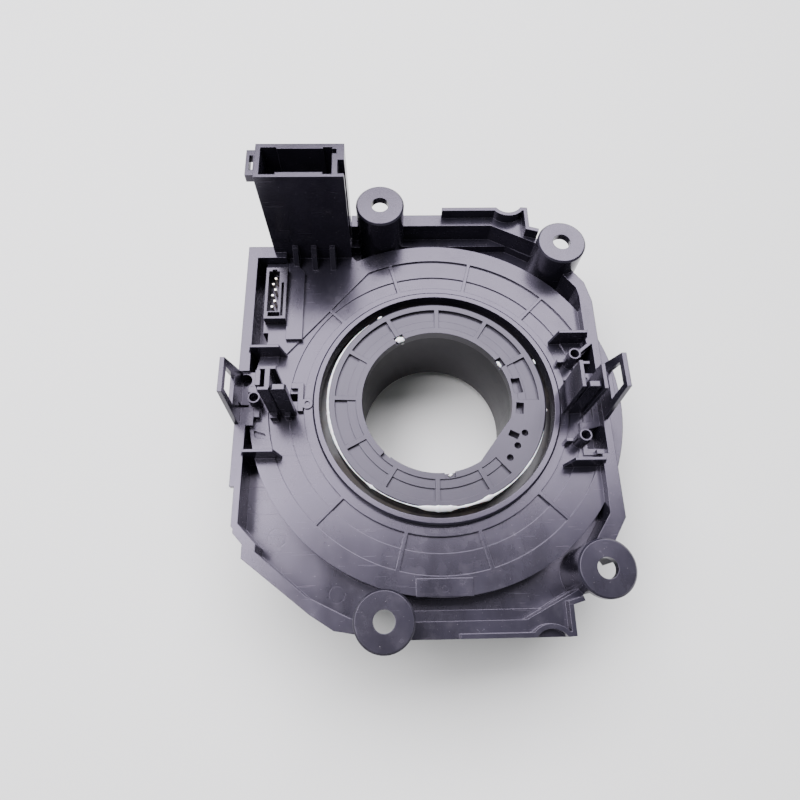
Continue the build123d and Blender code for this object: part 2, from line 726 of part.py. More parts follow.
def left_catch():
    """Raised catch on the disc beside the left switch seat: a bar with a foot, and a bored boss."""
    parts = [post(-40.8, -39.2, -2.3, 6.3, disc_top + 0.5), post(-42.8, -39.2, 4.9, 6.7, disc_top + 0.5),
             tube(3.4, 1.4, disc_under + 0.3, disc_top + 0.5, -38.0, 0.1)]
    return parts


def left_recesses():
    """Hollows of the left seat: a slot beside the catch, a round socket, a slit and a slanted trough."""
    x, y = left_socket
    return [
        block(-43.2, -40.9, 1.3, 3.7, disc_under - 0.5, 3),
        disc(3.8, left_seat_top - 4.0, 3, x, y),
        block(-57.3, -54.6, -1.5, -0.8, left_seat_top - 2.0, 3),
        plate([(-53.2, -7.9), (-49.8, -9.0), (-49.7, -10.3), (-52.6, -10.2)], disc_top - 1.2, 3),
    ]


def right_bracket():
    """Right switch seat: a web and a side wall with a finger between them, two pipes and the loop."""
    x, y = right_rivet
    half = rivet_d / 2
    finger = post(38.8, 42.3, -3.6, -3.6 + finger_thick, finger_top)
    finger = fillet(finger.edges().filter_by(Axis.Y).group_by(Axis.Z)[-1], 0.7)
    parts = guide_plates(right_in_x, right_guides) + [
        post(36.9, 37.9, -3.8, 3.8, web_top),
        post(37.6, 39.6, 2.7, 3.5, web_top),
        post(42.7, 43.7, -4.4, 2.8, web_top),
        finger,
        post(36.6, 38.6, y - 1.1, y, 0.3),
        post(36.4, 38.4, -y - 0.7, -y + 0.4, 0.3),
        plate([(42.0, y + 1.5), (42.6, y + 0.8), (47.8, y + 4.9), (47.8, y + 6.2)], disc_under, 1.0),
        block(right_seat_x - 2.6, right_seat_x + 0.3, -16.9, -15.6, floor_top, -0.5),
        latch_loop(right_x - 1.4),
    ]
    for side in (1, -1):
        parts.append(rivet_pipe(x, side * y))
        parts.append(post(x + half - 0.3, x + half + 1.4, side * (y + 0.4) - 0.5, side * (y + 0.4) + 0.5, 1.5))
    return parts


def lead_chamber_cut():
    """Way for the case's lead block through the wall under the tower."""
    return block(lead_x[0] - gap, lead_x[1] + gap, 30, tower_y[0] + 3, lead_z[0] - gap, lead_z[1] + gap)


def hook_grooves():
    """Grooves inside the disc's edge wall that the case's hooks latch into."""
    groove = tube(2 * (hook_inner + hook_reach) + 0.4, 90, hook_nose[0] - gap, hook_nose[1] + gap)
    sector = plate([(0, 0), polar(case_d, -6), polar(case_d, 6)], floor_under, 0)
    return [turned(groove & sector, direction) for direction in hook_dirs]


def end_shelves():
    """Ledges along the feet of the two end walls."""
    near, far = shelf_y, end_in_y + 0.5
    upper = [(tower_x[1] - 0.5, near), (26.0, near), (33.8, 53.4), (34.6, 54.3), (20.6, far),
             (tower_x[1] - 0.5, far)]
    lower = [(-24.0, -near), (26.0, -near), (33.8, -53.4), (34.6, -54.3), (20.6, -far), (-21.0, -far)]
    return [plate(points, floor_top - 0.5, shelf_top) for points in (upper, lower)]


def switch_pockets():
    """Wells in the right of the disc: the blocks that hold the outer two, then the wells themselves."""
    upper = [(43.4, 8.8), (47.5, 8.8), (47.5, 17.0), (43.4, 13.4)]
    lower = [(43.0, -9.2), (47.5, -8.0), (47.5, -14.9), (43.0, -14.9)]
    inner = [(38.4, 0.6), (42.2, 0.6), (42.2, 7.0), (38.4, 7.0)]
    wells = [plate(points, floor_top, 3) for points in (upper, lower)]
    wells.append(plate(inner, disc_under - 0.5, 3))
    blocks = [block(41.8, 48.6, 7.4, 17.6, floor_under, disc_top),
              block(41.6, 48.6, -16.8, -6.8, floor_under, disc_top)]
    return blocks, wells


def rear_housing():
    """The stator moulding that carries everything else."""
    pocket = make_face(Polyline(*pocket_outline(), close=True))
    walls = offset(pocket, wall, kind=Kind.INTERSECTION)
    body = Pos(0, 0, floor_under) * extrude(walls, rim_top - floor_under)
    body += plate(rim_outline(), rim_top - rim_thick, rim_top)
    body -= Pos(0, 0, floor_top) * extrude(pocket, 30)
    for shelf in end_shelves():
        body += shelf
    body += ribbed_disc() - block(-case_d, -side_in_x, -case_d, case_d, floor_under - 1, 5)
    body += header_deck()
    body -= disc(disc_d - 2 * disc_wall, floor_under - 1, disc_under) - disc(lip_out_d, disc_under - 0.1, 1)
    body -= disc(lip_in_d, floor_under - 1, 1)
    for x, y, top in ears():
        body -= disc(ear_d - 0.2, floor_under - 1, 20, x, y)
        body += ear(x, y, top)
    body += end_fence(1, 4.0, fence_top)
    body += end_fence(-1, 2.8, low_fence_top)
    body -= tower_hollow()
    body += tower()
    body -= disc(case_d + 2 * gap, root_under - 1, floor_under)
    body += block(-side_x, -side_in_x + 0.1, left_seat[0] - 0.1, left_seat[1] + 0.1, floor_under, floor_top)
    body -= block(-side_x - 1, -side_in_x + 0.1, left_seat[0], left_seat[1], left_seat_top, 5)
    body += block(-side_x, -53.0, left_seat[0], left_seat[1], floor_top - 1, left_seat_top)
    blocks, wells = switch_pockets()
    for part in blocks:
        body += part
    body -= block(right_in_x - 0.1, right_seat_x, right_seat[0], right_seat[1], disc_top, 5)
    body -= block(header_x[0] - 0.9, -36, header_y[0] - 1.5, header_y[1] + 1.5, board_under - 0.6, board_top)
    body -= lead_chamber_cut()
    for groove in hook_grooves():
        body -= groove
    body -= block(header_x[0] - 0.05, header_x[1] + 0.05, header_y[0] - 0.05, header_y[1] + 0.05,
                  board_top - 1, 3)
    for part in left_bracket() + left_catch() + right_bracket():
        body += part
    for part in wells + left_recesses():
        body -= part
    for x, y, top in ears():
        body -= disc(ear_hole_d, top - ear_thick - 1, top + 1, x, y)
    return body


# ---- Build every piece and write one file for each ------------------------------------------------
pieces = {
    "rear_housing": rear_housing,
    "cable_case": cable_case,
    "rotor": rotor,
    "rotor_ring": rotor_ring,
    "sensor_drive_gear": sensor_drive_gear,
    "measuring_gear_a": lambda: measuring_gear(gear_a_teeth, gear_a_dir),
    "measuring_gear_b": lambda: measuring_gear(gear_b_teeth, gear_b_dir),
    "magnet_a": lambda: magnet(gear_a_teeth, gear_a_dir),
    "magnet_b": lambda: magnet(gear_b_teeth, gear_b_dir),
    "sensor_board": sensor_board,
    "sensor_chips": sensor_chips,
    "sensor_header": sensor_header,
    "sensor_header_pins": header_pin_row,
    "signal_tape": lambda: tape(tape_start_r, 0),
    "airbag_tape": lambda: tape(tape_start_r, 180),
    "rear_slide_sheet": rear_slide_sheet,
    "front_slide_sheet": front_slide_sheet,
    "stator_lead_block": stator_lead_block,
    "rotor_lead_block": rotor_lead_block,
    "main_terminals": main_terminals,
    "wheel_switch_socket": lambda: wheel_socket(*switch_socket),
    "wheel_switch_pins": lambda: wheel_pins(switch_socket[0], switch_socket[1], 2.2, 8, 2),
    "airbag_socket_right": lambda: wheel_socket(*airbag_socket),
    "airbag_socket_left": lambda: wheel_socket(-airbag_socket[0], *airbag_socket[1:]),
    "airbag_pins_right": lambda: wheel_pins(airbag_socket[0], airbag_socket[1], 3.4, 2, 1),
    "airbag_pins_left": lambda: wheel_pins(-airbag_socket[0], airbag_socket[1], 3.4, 2, 1),
}

os.makedirs("parts", exist_ok=True)
for name, build in pieces.items():
    export_step(build(), f"parts/{name}.step")
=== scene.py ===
import math

import bpy
import numpy as np
from mathutils import Matrix, Vector


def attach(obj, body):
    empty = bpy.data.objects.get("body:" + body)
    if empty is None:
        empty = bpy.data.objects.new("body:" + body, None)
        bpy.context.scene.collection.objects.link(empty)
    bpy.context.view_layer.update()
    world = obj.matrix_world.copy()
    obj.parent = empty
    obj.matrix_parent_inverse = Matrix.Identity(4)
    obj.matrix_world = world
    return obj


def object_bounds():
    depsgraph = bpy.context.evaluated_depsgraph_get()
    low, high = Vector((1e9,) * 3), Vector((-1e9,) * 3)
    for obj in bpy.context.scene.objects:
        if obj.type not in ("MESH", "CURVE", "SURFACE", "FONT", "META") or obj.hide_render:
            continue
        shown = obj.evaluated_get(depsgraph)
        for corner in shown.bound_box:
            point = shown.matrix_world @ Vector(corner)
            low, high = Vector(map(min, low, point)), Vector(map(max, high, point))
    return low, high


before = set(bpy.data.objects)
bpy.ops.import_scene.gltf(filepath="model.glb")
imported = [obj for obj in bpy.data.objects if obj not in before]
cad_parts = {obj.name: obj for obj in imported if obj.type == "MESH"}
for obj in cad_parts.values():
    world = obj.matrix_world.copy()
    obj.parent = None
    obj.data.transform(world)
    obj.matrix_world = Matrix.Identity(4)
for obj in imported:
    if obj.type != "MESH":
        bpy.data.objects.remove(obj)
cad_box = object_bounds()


# ---- Camera --------------------------------------------------------------------------------------
# The unit lies front face down and is seen from above its lower edge, a little from the left.
# The lens is 27 mm long on a frame 36 mm wide, and stands 175 mm from the middle of the ring.
eye = Vector((-0.01483, -0.06371, 0.16254))
eye_right = Vector((0.99965, -0.02043, 0.01666))
eye_up = Vector((0.01293, 0.93073, 0.36547))
eye_back = Vector((-0.02297, -0.36513, 0.93067))
lens = bpy.data.cameras.new("camera")
lens.lens = 27.0
lens.sensor_width = 36.0
lens.sensor_fit = "HORIZONTAL"
lens.clip_start = 0.005
camera = bpy.data.objects.new("camera", lens)
camera.matrix_world = Matrix.Translation(eye) @ Matrix((eye_right, eye_up, eye_back)).transposed().to_4x4()
bpy.context.scene.collection.objects.link(camera)
bpy.context.scene.camera = camera


# ---- Rear housing --------------------------------------------------------------------------------
# One moulding of glass-filled black polymer from a spark-eroded tool: a fine even grain, a violet sheen
# and faint flow clouds. Its rounded edges are painted paler, partly as wear from handling and partly as a
# painted highlight along them. The flats carry dust and hair-fine scuffs, and the ejector pins left
# shallow rings in its floor.
mm_per_metre = 1000.0


class Wire:
    """One output of a node. Sums and products of wires and numbers add Math nodes."""

    def __init__(self, finish, socket):
        self.finish = finish
        self.socket = socket

    def calc(self, operation, *values, clamp=False):
        settings = {"operation": operation, "use_clamp": clamp}
        return self.finish.node("ShaderNodeMath", settings, dict(enumerate((self, *values))))

    def __add__(self, other):
        return self.calc("ADD", other)

    def __sub__(self, other):
        return self.calc("SUBTRACT", other)

    def __mul__(self, other):
        return self.calc("MULTIPLY", other)

    def __rsub__(self, other):
        return (self * -1.0).calc("ADD", other)

    __radd__ = __add__
    __rmul__ = __mul__

    def clamped(self):
        return self.calc("ADD", 0.0, clamp=True)

    def step(self, low, high):
        """0 below low, 1 above high, and smooth between them."""
        inputs = {"Value": self, "From Min": low, "From Max": high}
        return self.finish.node("ShaderNodeMapRange", {"interpolation_type": "SMOOTHSTEP"}, inputs)

    def near(self, value, reach):
        """1 where the wire has that value, falling to 0 at the reach on either side."""
        return 1.0 - (self - value).calc("ABSOLUTE").step(0.0, reach)


class Finish:
    """A material with one Principled surface, whose edges look rounded. Its patterns are worked out in
    millimetres on the object itself, so a grain keeps its size on every piece."""

    def __init__(self, name, rounding_mm, **constants):
        self.material = bpy.data.materials.new(name)
        self.material.use_nodes = True
        self.tree = self.material.node_tree
        self.surface = self.tree.nodes["Principled BSDF"]
        self.set(**constants)
        metres = self.node("ShaderNodeTexCoord", {}, {}, "Object")
        scaled = {0: metres, "Scale": mm_per_metre}
        self.place = self.node("ShaderNodeVectorMath", {"operation": "SCALE"}, scaled)
        parts = self.node("ShaderNodeSeparateXYZ", {}, {0: self.place}).socket.node.outputs
        self.x, self.y, self.z = (Wire(self, part) for part in parts)
        self.soft = self.node("ShaderNodeBevel", {"samples": 6}, {"Radius": rounding_mm / mm_per_metre})

    def feed(self, socket, value):
        """Links a wire to an input, or sets the input's own value."""
        if isinstance(value, Wire):
            self.tree.links.new(value.socket, socket)
        elif socket.type == "RGBA":
            socket.default_value = (*value, 1.0)
        else:
            socket.default_value = value

    def node(self, kind, settings, inputs, output=0):
        """Adds a node, makes its settings, feeds its inputs, and gives one of its outputs."""
        node = self.tree.nodes.new(kind)
        for name, value in settings.items():
            setattr(node, name, value)
        for name, value in inputs.items():
            self.feed(node.inputs[name], value)
        return Wire(self, node.outputs[output])

    def set(self, **values):
        """Feeds inputs of the surface, named with _ in place of a space."""
        for name, value in values.items():
            self.feed(self.surface.inputs[name.replace("_", " ")], value)

    def noise(self, per_mm, detail, rough, stretch=(1.0, 1.0, 1.0)):
        """Cloudy noise from 0 to 1, with so many lumps in a millimetre."""
        place = self.node("ShaderNodeVectorMath", {"operation": "MULTIPLY"}, {0: self.place, 1: stretch})
        inputs = {"Vector": place, "Scale": per_mm, "Detail": detail, "Roughness": rough}
        return self.node("ShaderNodeTexNoise", {}, inputs, "Fac")

    def blend(self, first, second, share):
        """The first colour where share is 0 and the second where it is 1. A Mix node takes its two
        colours at inputs 6 and 7, and gives a colour at output 2."""
        return self.node("ShaderNodeMix", {"data_type": "RGBA"}, {0: share, 6: first, 7: second}, 2)

    def edge(self):
        """0 on a flat, and more where the rounded direction leans away from the face's own."""
        face = self.node("ShaderNodeNewGeometry", {}, {}, "Normal")
        inputs = {0: self.soft, 1: face}
        return 1.0 - self.node("ShaderNodeVectorMath", {"operation": "DOT_PRODUCT"}, inputs, "Value")

    def relief(self, height, depth_mm, strength):
        """Bumps on the rounded surface, depth_mm deep where height is 1."""
        distance = depth_mm / mm_per_metre
        inputs = {"Height": height, "Distance": distance, "Strength": strength, "Normal": self.soft}
        self.set(Normal=self.node("ShaderNodeBump", {}, inputs))

    def ring(self, x, y, radius, width):
        """1 on a circle round a point, in plan."""
        across = self.x - x
        along = self.y - y
        return (across * across + along * along).calc("SQRT").near(radius, width)


def moulded(name, deep, pale, rough, grain, dust=1.0, sheen=0.62, marks=None):
    """A moulded polymer that clouds from a deep colour to a pale one. grain is how strong its relief is
    and dust how much lies on it. marks gives more relief for one tool's own marks. The rounded edges are
    painted paler, partly as wear and partly as a painted highlight."""
    wear_and_highlight_pale, dust_grey = (0.20, 0.185, 0.235), (0.30, 0.28, 0.26)
    finish = Finish(name, rounding_mm=0.22, Specular_IOR_Level=sheen, Specular_Tint=(0.88, 0.80, 1.0))
    cloud = finish.noise(per_mm=0.035, detail=3.0, rough=0.55)
    flow = finish.noise(per_mm=0.12, detail=4.0, rough=0.6, stretch=(1.0, 0.35, 1.0))
    fine = finish.noise(per_mm=5.5, detail=2.0, rough=0.6)
    speck = finish.noise(per_mm=1.7, detail=2.0, rough=0.7).step(0.70, 0.80)
    haze = finish.noise(per_mm=0.22, detail=5.0, rough=0.62).step(0.45, 0.8)
    scuff = finish.noise(per_mm=0.9, detail=3.0, rough=0.6, stretch=(0.08, 1.6, 1.0)).step(0.62, 0.72)
    # The edge mask: rounded edges are painted paler, partly as wear and partly as a painted highlight along
    # them.
    wear_and_highlight = (finish.edge() * 3.2).clamped()
    colour = finish.blend(deep, pale, (cloud * 0.6 + flow * 0.4).step(0.30, 0.72))
    colour = finish.blend(colour, wear_and_highlight_pale, wear_and_highlight * 0.55)
    colour = finish.blend(colour, dust_grey, speck * 0.24 * dust + haze * 0.02 * dust)
    roughness = rough + (flow - 0.5) * 0.16 + haze * 0.06 * dust + speck * 0.2 + scuff * 0.07 - wear_and_highlight * 0.05
    finish.set(Base_Color=colour, Roughness=roughness.clamped())
    height = fine if marks is None else fine * 0.4 + marks(finish)
    finish.relief(height, depth_mm=0.02, strength=grain)
    return finish.material


def pin_marks(finish):
    """Rings left by the ejector pins in the tray's floor, and the joints of an insert on the disc."""
    pins = ((-46.0, -37.5, 2.6), (-29.0, -53.0, 2.2), (0.0, 52.0, 0.8), (0.0, -52.5, 0.8))
    rings = sum(finish.ring(x, y, radius, width=0.25) for x, y, radius in pins)
    insert_top, insert_bottom, joint_width = 14.5, -15.4, 0.12
    insert_left, insert_right, fade = -47.8, -36.8, 0.2
    joints = finish.y.near(insert_top, joint_width) + finish.y.near(insert_bottom, joint_width)
    past_left = finish.x.step(insert_left, insert_left + fade)
    past_right = finish.x.step(insert_right, insert_right + fade)
    sunk = -1.6
    return (rings + joints * past_left * (1.0 - past_right)) * sunk


def dress(node, material):
    """Puts one material in a CAD node's slots."""
    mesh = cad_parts[node].data
    if not mesh.materials:
        mesh.materials.append(material)
    for k in range(len(mesh.materials)):
        mesh.materials[k] = material


housing_black = moulded(
    "housing_black", deep=(0.011, 0.010, 0.015), pale=(0.020, 0.018, 0.028), rough=0.22, grain=0.26,
    marks=pin_marks,
)
dress("rear_housing", housing_black)


# ---- Cable case and lead blocks ------------------------------------------------------------------
# The case is the cup that holds the wound tapes, moulded like the housing but in a greyer and duller
# grade, and snapped to it. The two lead blocks clamp the ends of the tapes.
case_black = moulded(
    "case_black", deep=(0.012, 0.012, 0.014), pale=(0.020, 0.019, 0.022), rough=0.34, grain=0.28,
)
for node in ("cable_case", "stator_lead_block", "rotor_lead_block"):
    dress(node, case_black)


# ---- Rotor ---------------------------------------------------------------------------------------
# The tube that turns round the column is moulded of a blacker and duller polymer than the housing. It is
# snapped through the case, so little dust reaches it.
rotor_black = moulded(
    "rotor_black", deep=(0.005, 0.005, 0.006), pale=(0.010, 0.009, 0.011), rough=0.38, grain=0.22,
    dust=0.5, sheen=0.3,
)
dress("rotor", rotor_black)


# ---- Rotor ring ----------------------------------------------------------------------------------
# The pocketed ring locks on the end of the tube. The part that bears on it has rubbed its face, so it is
# a shade paler and carries fine marks that run round the axis.
def rubbed_face(name):
    """A moulded face with turned marks: noise that changes fast with the radius and slowly along x and
    y, so that each mark runs round the axis."""
    across, around = 3.0, 0.02
    wear_and_highlight_pale, dust_grey = (0.20, 0.19, 0.23), (0.32, 0.30, 0.28)
    finish = Finish(name, rounding_mm=0.2, Specular_IOR_Level=0.50, Specular_Tint=(0.88, 0.82, 1.0))
    radius = (finish.x * finish.x + finish.y * finish.y).calc("SQRT")
    spread = {0: radius * across, 1: finish.x * around, 2: finish.y * around}
    turned = finish.node("ShaderNodeCombineXYZ", {}, spread)
    marks = finish.node("ShaderNodeTexNoise", {}, {"Vector": turned, "Scale": 2.2, "Detail": 3.0}, "Fac")
    fine = finish.noise(per_mm=5.0, detail=2.0, rough=0.6)
    cloud = finish.noise(per_mm=0.06, detail=3.0, rough=0.5).step(0.3, 0.7)
    speck = finish.noise(per_mm=1.9, detail=2.0, rough=0.7).step(0.72, 0.8)
    # The edge mask: rounded edges are painted paler, partly as wear and partly as a painted highlight along
    # them.
    wear_and_highlight = (finish.edge() * 3.0).clamped()
    colour = finish.blend((0.013, 0.012, 0.016), (0.024, 0.022, 0.028), cloud)
    colour = finish.blend(colour, wear_and_highlight_pale, wear_and_highlight * 0.5)
    colour = finish.blend(colour, dust_grey, speck * 0.25)
    finish.set(Base_Color=colour, Roughness=(0.33 + (marks - 0.5) * 0.14 + speck * 0.2).clamped())
    finish.relief(fine * 0.7 + marks * 0.3, depth_mm=0.015, strength=0.3)
    return finish.material


dress("rotor_ring", rubbed_face("ring_black"))


# ---- Drive gear ----------------------------------------------------------------------------------
# The black gear on the rotor that drives the steering angle sensor. Its rim shows in the gap round the
# ring, dull with a film of old grease that has turned brown in places.
def filmed_gear(name):
    bare, brown = (0.026, 0.023, 0.027), (0.085, 0.068, 0.056)
    finish = Finish(name, rounding_mm=0.15)
    old_grease = finish.noise(per_mm=0.10, detail=4.0, rough=0.6).step(0.42, 0.66)
    fine = finish.noise(per_mm=3.0, detail=2.0, rough=0.5)
    finish.set(Base_Color=finish.blend(bare, brown, old_grease))
    finish.set(Roughness=(0.34 + old_grease * 0.18).clamped())
    finish.relief(fine + old_grease * 0.6, depth_mm=0.03, strength=0.35)
    return finish.material


dress("sensor_drive_gear", filmed_gear("filmed_gear"))


# ---- Measuring gears -----------------------------------------------------------------------------
# Two small gears of uncoloured acetal, a waxy off-white that lets a little light in. They turn on
# pins moulded in the case.
def acetal(name):
    finish = Finish(name, rounding_mm=0.15, Subsurface_Weight=0.12, Subsurface_Scale=0.001)
    cloud = finish.noise(per_mm=0.3, detail=3.0, rough=0.5)
    fine = finish.noise(per_mm=4.0, detail=2.0, rough=0.5)
    finish.set(Base_Color=finish.blend((0.70, 0.68, 0.62), (0.80, 0.79, 0.75), cloud.step(0.3, 0.7)))
    finish.set(Roughness=(0.34 + (cloud - 0.5) * 0.1).clamped())
    finish.relief(fine, depth_mm=0.01, strength=0.2)
    return finish.material


acetal_white = acetal("acetal_white")
for node in ("measuring_gear_a", "measuring_gear_b"):
    dress(node, acetal_white)


# ---- Magnets -------------------------------------------------------------------------------------
# Pressed and sintered discs, dark grey with a gritty skin, glued in the measuring gears so that the
# board's field sensors can read how far the gears have turned.
def sintered(name):
    finish = Finish(name, rounding_mm=0.12, Metallic=0.85)
    grit = finish.noise(per_mm=4.0, detail=4.0, rough=0.7)
    finish.set(Base_Color=finish.blend((0.10, 0.10, 0.11), (0.22, 0.22, 0.23), grit.step(0.35, 0.7)))
    finish.set(Roughness=(0.42 + (grit - 0.5) * 0.3).clamped())
    finish.relief(grit, depth_mm=0.02, strength=0.3)
    return finish.material


magnet_grey = sintered("magnet_grey")
for node in ("magnet_a", "magnet_b"):
    dress(node, magnet_grey)


# ---- Sensor board and chips ----------------------------------------------------------------------
# Green-masked board with the weave of its glass cloth just visible and its cut edges paler. Two black
# field sensors are soldered on it over the magnets.
def masked_board(name):
    cut_glass = (0.30, 0.33, 0.20)
    finish = Finish(name, rounding_mm=0.1)
    threads = [
        finish.node("ShaderNodeTexWave", {"wave_type": "BANDS", "bands_direction": way},
                    {"Vector": finish.place, "Scale": 0.6}, "Fac")
        for way in ("X", "Y")
    ]
    weave = threads[0] * 0.5 + threads[1] * 0.5
    cloud = finish.noise(per_mm=0.4, detail=3.0, rough=0.5)
    colour = finish.blend((0.010, 0.075, 0.040), (0.020, 0.120, 0.065), weave * 0.5 + cloud * 0.5)
    colour = finish.blend(colour, cut_glass, (finish.edge() * 2.0).clamped())
    finish.set(Base_Color=colour, Roughness=(0.24 + cloud * 0.12).clamped())
    finish.relief(weave, depth_mm=0.01, strength=0.2)
    return finish.material


dress("sensor_board", masked_board("masked_board"))
chip_black = moulded(
    "chip_black", deep=(0.020, 0.020, 0.021), pale=(0.030, 0.030, 0.031), rough=0.5, grain=0.3, dust=0.2,
)
dress("sensor_chips", chip_black)


# ---- Sensor header -------------------------------------------------------------------------------
# The six-way header soldered on the board stands up through the tray. It is a smoother and blacker
# moulding than the tray round it.
header_black = moulded(
    "header_black", deep=(0.008, 0.008, 0.010), pale=(0.014, 0.013, 0.016), rough=0.26, grain=0.15,
    dust=0.4,
)
dress("sensor_header", header_black)


# ---- Pins and blades -----------------------------------------------------------------------------
# Tin-plated brass, stamped and pressed into the mouldings: bright, with fine draw lines along the pin and
# patches where the brass stains the tin yellow.
def tinned(name):
    finish = Finish(name, rounding_mm=0.08, Metallic=1.0)
    stain = finish.noise(per_mm=0.9, detail=3.0, rough=0.6).step(0.42, 0.7)
    draw = finish.noise(per_mm=2.5, detail=3.0, rough=0.6, stretch=(1.0, 1.0, 0.12))
    finish.set(Base_Color=finish.blend((0.74, 0.72, 0.67), (0.62, 0.52, 0.36), stain))
    finish.set(Roughness=(0.20 + draw * 0.22).clamped())
    finish.relief(draw, depth_mm=0.01, strength=0.25)
    return finish.material


pin_tin = tinned("pin_tin")
for node in (
    "sensor_header_pins", "main_terminals", "wheel_switch_pins", "airbag_pins_left", "airbag_pins_right",
):
    dress(node, pin_tin)


# ---- Wheel side sockets --------------------------------------------------------------------------
# The switch plug's socket is black like the rotor that carries it. The two igniter sockets are of the
# yellow polymer that marks an airbag's circuit.
dress("wheel_switch_socket", rotor_black)
airbag_yellow = moulded(
    "airbag_yellow", deep=(0.62, 0.40, 0.035), pale=(0.74, 0.50, 0.06), rough=0.38, grain=0.25, dust=0.3,
)
for node in ("airbag_socket_left", "airbag_socket_right"):
    dress(node, airbag_yellow)


# ---- Tapes ---------------------------------------------------------------------------------------
# Flat copper strips laid side by side between two polyester films, and wound on edge in the case. The
# strips show through as brown bands.
def laminate(name):
    """Bands across the tape's width, a sine of z: 3.6 radians in a millimetre make a pitch of 1.75 mm."""
    polyester, copper = (0.78, 0.74, 0.64), (0.50, 0.27, 0.13)
    finish = Finish(name, rounding_mm=0.03)
    strip = (finish.z * 3.6).calc("SINE").step(-0.1, 0.25)
    scuff = finish.noise(per_mm=0.8, detail=3.0, rough=0.6, stretch=(1.0, 1.0, 0.2))
    finish.set(Base_Color=finish.blend(polyester, copper, strip))
    finish.set(Roughness=(0.22 + scuff * 0.2).clamped())
    finish.relief(strip, depth_mm=0.02, strength=0.3)
    return finish.material


tape_laminate = laminate("tape_laminate")
for node in ("signal_tape", "airbag_tape"):
    dress(node, tape_laminate)


# ---- Slide sheets --------------------------------------------------------------------------------
# Two milky rings of slick film, die-cut and laid in loose, one against the case's plate and one on the
# rotor's flange, for the tapes' edges to slide on.
def milky_film(name):
    finish = Finish(name, rounding_mm=0.03)
    cloud = finish.noise(per_mm=0.15, detail=3.0, rough=0.6)
    rub = finish.noise(per_mm=1.2, detail=3.0, rough=0.6)
    finish.set(Base_Color=finish.blend((0.76, 0.76, 0.72), (0.86, 0.86, 0.83), cloud.step(0.3, 0.7)))
    finish.set(Roughness=(0.32 + (rub - 0.5) * 0.2).clamped())
    finish.relief(rub, depth_mm=0.01, strength=0.2)
    return finish.material


slick_film = milky_film("slick_film")
for node in ("rear_slide_sheet", "front_slide_sheet"):
    dress(node, slick_film)


# ---- Grease on the ring's edge -------------------------------------------------------------------
# White damping grease that crept out of the gap onto the ring's outer shoulder: a thin bead down the left
# that runs in small lumps and spreads into a broad patch at the bottom. A few white lumps sit in the gap
# and at the notches of the bore; they are partly grease and partly painted glints. All of it turns with the
# ring.
def closed_form(name, rings):
    """A closed mesh through rings of points, (ring, point, xyz) in millimetres: quads between
    neighbouring rings, and a fan from the middle of the first and the last ring to its points."""
    count, around = rings.shape[:2]
    index = np.arange(count * around).reshape(count, around)
    after = np.roll(index, -1, axis=1)
    sides = np.stack([index[:-1], after[:-1], after[1:], index[1:]], axis=-1).reshape(-1, 4)
    first_fan = np.stack([np.full(around, index.size), after[0], index[0]], axis=-1)
    last_fan = np.stack([np.full(around, index.size + 1), index[-1], after[-1]], axis=-1)
    points = np.vstack([rings.reshape(-1, 3), rings[0].mean(axis=0), rings[-1].mean(axis=0)]) / mm_per_metre
    mesh = bpy.data.meshes.new(name)
    mesh.from_pydata(points.tolist(), [], sides.tolist() + first_fan.tolist() + last_fan.tolist())
    mesh.polygons.foreach_set("use_smooth", np.ones(len(mesh.polygons), bool))
    mesh.update()
    piece = bpy.data.objects.new(name, mesh)
    bpy.context.scene.collection.objects.link(piece)
    return piece


def grease_bead(name, stops, radius, level, seed):
    """A bead along a circle round the axis. Its section is an ellipse, half * cos v wide and tall *
    sin v high, that leans over the ring's shoulder. half and tall follow the stops, with a wobble."""
    lean = math.radians(-48)
    steps, wobbles, around = 700, 140, 14
    turn = np.linspace(stops[0, 0], stops[-1, 0], steps)
    rng = np.random.default_rng(seed)
    wobble = np.interp(turn, np.linspace(turn[0], turn[-1], wobbles), rng.uniform(0.82, 1.18, wobbles))
    half = (np.interp(turn, stops[:, 0], stops[:, 1]) * wobble)[:, None]
    tall = (np.interp(turn, stops[:, 0], stops[:, 2]) * wobble)[:, None]
    v = np.linspace(2 * np.pi, 0, around, endpoint=False)[None, :]
    across = half * np.cos(v)
    up = tall * np.sin(v)
    r = radius + across * math.cos(lean) - up * math.sin(lean)
    z = level + across * math.sin(lean) + up * math.cos(lean)
    angle = np.radians(turn)[:, None]
    return closed_form(name, np.stack([r * np.cos(angle), r * np.sin(angle), z], axis=-1))


def grease_blob(name, direction, radius, level, half_axes, seed):
    """A lump at a direction and radius: a ball with half axes outward, along the circle and up, whose
    outline waves 2 and 5 times on its way round. A small cap at each pole is left to the fans."""
    rng = np.random.default_rng(seed)
    cap, rows, columns = 0.12, 16, 28
    outward, along_circle, upward = half_axes
    u = np.linspace(np.pi - cap, cap, rows)[:, None]
    v = np.linspace(0, 2 * np.pi, columns, endpoint=False)[None, :]
    wave = 1 + 0.16 * np.sin(2 * v + rng.uniform(0, 6)) + 0.10 * np.sin(5 * v + rng.uniform(0, 6))
    out = radius + outward * np.sin(u) * np.cos(v) * wave
    along = along_circle * np.sin(u) * np.sin(v) * wave
    a = math.radians(direction)
    x = out * math.cos(a) - along * math.sin(a)
    y = out * math.sin(a) + along * math.cos(a)
    z = level + upward * np.cos(u)
    return closed_form(name, np.stack(np.broadcast_arrays(x, y, z), axis=-1))


def grease_paste(name):
    clean, dirty = (0.86, 0.86, 0.87), (0.52, 0.49, 0.47)
    finish = Finish(
        name, rounding_mm=0.05, Specular_IOR_Level=0.6, Subsurface_Weight=0.2, Subsurface_Scale=0.0006,
    )
    lump = finish.noise(per_mm=1.1, detail=4.0, rough=0.6)
    dirt = finish.noise(per_mm=0.5, detail=4.0, rough=0.65).step(0.56, 0.78)
    finish.set(Base_Color=finish.blend(clean, dirty, dirt * 0.7))
    finish.set(Roughness=(0.22 + dirt * 0.25).clamped())
    finish.relief(lump, depth_mm=0.12, strength=0.5)
    return finish.material


